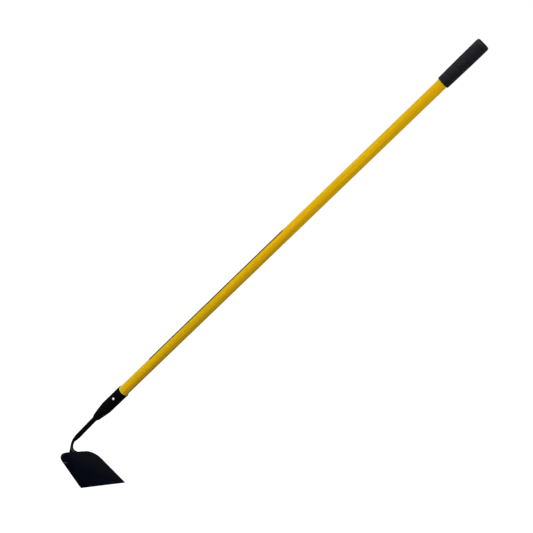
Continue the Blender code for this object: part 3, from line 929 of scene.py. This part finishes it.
def grip_profile(bore):
    """From the open bore round the rim, up the side past the line and over the closed end."""
    high = grip_box[1].z
    start = outer_radius("cushion_grip", grip_foot + 2 * GRIP_RIM_ROUND)
    bore_top = grip_foot + GRIP_BORE_DEPTH
    profile = [(0, bore_top), (bore, bore_top), (bore, grip_foot)]
    for angle in quarter_turn(SMALL_CURVE_STEPS):
        radius = start - GRIP_RIM_ROUND * (1 - math.sin(angle))
        profile.append((radius, grip_foot + GRIP_RIM_ROUND * (1 - math.cos(angle))))
    body_top = high - GRIP_END_ROUND
    measured_to = body_top - GRIP_MEASURED_SHARE * GRIP_END_ROUND
    for height in steps_between(grip_foot + GRIP_RIM_ROUND, body_top, PROFILE_PITCH)[1:]:
        radius = outer_radius("cushion_grip", min(height, measured_to))
        from_line = (height - (high - GRIP_LINE_FROM_END)) / GRIP_LINE_WIDTH
        profile.append((radius - GRIP_LINE_DEPTH * math.exp(-from_line * from_line), height))
    side = profile[-1][0]
    for angle in quarter_turn(CURVE_STEPS)[1:]:
        radius = side - GRIP_END_ROUND * (1 - math.cos(angle))
        profile.append((radius, body_top + GRIP_END_ROUND * math.sin(angle)))
    for ring in range(GRIP_END_RINGS, 0, -1):
        profile.append(((side - GRIP_END_ROUND) * GRIP_END_RING_SHARE * ring, high))
    return profile + [(0, high)]


def make_label(material):
    """Thin curved film with round corners, a hair off the tube."""
    points = node_points("label_strip")
    low = min(point.z for point in points)
    high = max(point.z for point in points)
    half_span = max(abs(math.atan2(point.x, -point.y)) for point in points)
    middle = (low + high) / 2
    lower = [math.hypot(point.x, point.y) for point in points if point.z < middle]
    upper = [math.hypot(point.x, point.y) for point in points if point.z > middle]
    inner_low, inner_high = min(lower), min(upper)
    thickness = max(lower) - inner_low
    half_width = half_span * inner_low
    bm = bmesh.new()
    rows = []
    for height in label_heights(low, high):
        span = half_span * (1 - corner_trim(min(height - low, high - height)) / half_width)
        inner = inner_low + (inner_high - inner_low) * (height - low) / (high - low)
        row = []
        for radius, order in ((inner, 1), (inner + thickness, -1)):
            for step in range(LABEL_STEPS + 1)[::order]:
                angle = -math.pi / 2 - span + 2 * span * step / LABEL_STEPS
                place = (radius * math.cos(angle), radius * math.sin(angle), height)
                row.append(bm.verts.new(place))
        rows.append(row)
    skin_rings(bm, rows)
    label = add_piece("label_skin", bm, material, SHARP_ON_SMALL_PIECES)
    stand_for(label, "label_strip")


def corner_trim(from_end):
    """How much a round corner takes off the label's side at a distance from its end."""
    into_corner = max(LABEL_CORNER - from_end, 0)
    return LABEL_CORNER - math.sqrt(max(LABEL_CORNER ** 2 - into_corner ** 2, 0))


def label_heights(low, high):
    """Rows of the label, close together round its corners."""
    corner = [LABEL_CORNER * (1 - math.cos(angle)) for angle in quarter_turn(SMALL_CURVE_STEPS)]
    middle = steps_between(low + LABEL_CORNER, high - LABEL_CORNER, PLAIN_PITCH)
    below = [low + rise for rise in corner[:-1]]
    return below + middle + [high - rise for rise in reversed(corner[:-1])]


# Stage

def add_floor():
    """Wide flat floor below the head, white where the camera sees it."""
    level = cad_box[0].z - FLOOR_BELOW_HEAD
    bpy.ops.mesh.primitive_plane_add(size=FLOOR_SIZE, location=(0, 0, level))
    floor = bpy.context.object
    floor.name = "floor"
    material, tree, shader = new_material(
        "pale_floor", Base_Color=(*FLOOR_COLOUR, 1.0), Roughness=1.0, Specular_IOR_Level=0.0,
        Emission_Color=(1, 1, 1, 1),
    )
    glow = math_step(tree, "MULTIPLY", seen_share(tree), FLOOR_GLOW)
    tree.links.new(glow, shader.inputs["Emission Strength"])
    floor.data.materials.append(material)


def set_world():
    """Grey light from all around, more from the key's side. What the camera and gloss see is white."""
    world = bpy.data.worlds.new("studio")
    bpy.context.scene.world = world
    world.use_nodes = True
    tree = world.node_tree
    seen = seen_share(tree)
    direction = add_node(tree, "ShaderNodeTexCoord").outputs["Generated"]
    lean = vector_step(tree, "DOT_PRODUCT", direction, AMBIENT_DIRECTION.normalized())
    ambient = math_step(tree, "MULTIPLY_ADD", lean, AMBIENT_LEAN, AMBIENT)
    background = tree.nodes["Background"]
    background.inputs["Color"].default_value = (1, 1, 1, 1)
    strength = value_range(tree, seen, ambient, 1.0, start=0.0, end=1.0)
    tree.links.new(strength, background.inputs["Strength"])


def add_area_light(name, aim, direction, distance, size, power, colour=(1, 1, 1)):
    """A round lamp at a distance from the point that it is aimed at."""
    light = bpy.data.lights.new(name, "AREA")
    light.shape = "DISK"
    light.size = size
    light.energy = power
    light.color = colour
    lamp = bpy.data.objects.new(name, light)
    bpy.context.scene.collection.objects.link(lamp)
    away = direction.normalized()
    lamp.location = aim + away * distance
    lamp.rotation_euler = away.to_track_quat("Z", "Y").to_euler()


def add_lights():
    """The key lights the whole hoe. The fill is warm and nearer, level with the grip."""
    middle = (cad_box[0] + cad_box[1]) / 2
    add_area_light("key", middle, KEY_DIRECTION, KEY_DISTANCE, KEY_SIZE, KEY_POWER)
    grip_end = Vector((0, 0, cad_box[1].z))
    add_area_light(
        "fill", grip_end, FILL_DIRECTION, FILL_DISTANCE, FILL_SIZE, FILL_POWER, FILL_COLOUR,
    )


def add_camera():
    """The photograph's camera."""
    camera = bpy.data.cameras.new("camera")
    camera.sensor_width = SENSOR_MM
    camera.lens = SENSOR_MM * FOCAL_PIXELS / PHOTO_SIDE_PIXELS
    camera.clip_start = CAMERA_CLIP_START
    holder = bpy.data.objects.new("camera", camera)
    bpy.context.scene.collection.objects.link(holder)
    back = CAMERA_BACK.normalized()
    right = (CAMERA_RIGHT - back * CAMERA_RIGHT.dot(back)).normalized()
    turn = Matrix((right, back.cross(right), back)).transposed()
    holder.matrix_world = Matrix.Translation(CAMERA_PLACE) @ turn.to_4x4()
    bpy.context.scene.camera = holder


def main():
    bpy.context.scene.view_settings.view_transform = "Standard"
    add_camera()
    set_world()
    add_floor()
    add_lights()
    on_blade = blade_matrix()
    # Painted highlights on the foot and beside a shoulder, placed in the world.
    foot_highlight_points = [on_blade @ place for place in FOOT_HIGHLIGHT]
    shoulder_highlight_points = [on_blade @ place for place in SHOULDER_HIGHLIGHT]
    head_enamel = black_enamel("black_enamel", HEAD_PAINT, foot_highlight_points, FOOT_HIGHLIGHT_RADIUS)
    make_handle(fibreglass())
    make_ferrule(head_enamel)
    make_resin(pale_resin())
    make_rivet(rivet_steel())
    make_neck(head_enamel)
    make_blade(black_enamel("blade_enamel", BLADE_PAINT, shoulder_highlight_points, SHOULDER_HIGHLIGHT_RADIUS))
    make_weld(black_enamel("painted_weld", WELD_PAINT, grain_depth=WELD_GRAIN_DEPTH))
    make_grip(cushion_foam())
    make_label(label_film())
    for node, material in (("core_dowel", hidden_wood()), ("end_plug", hidden_plastic())):
        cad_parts[node].data.materials.clear()
        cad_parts[node].data.materials.append(material)


main()
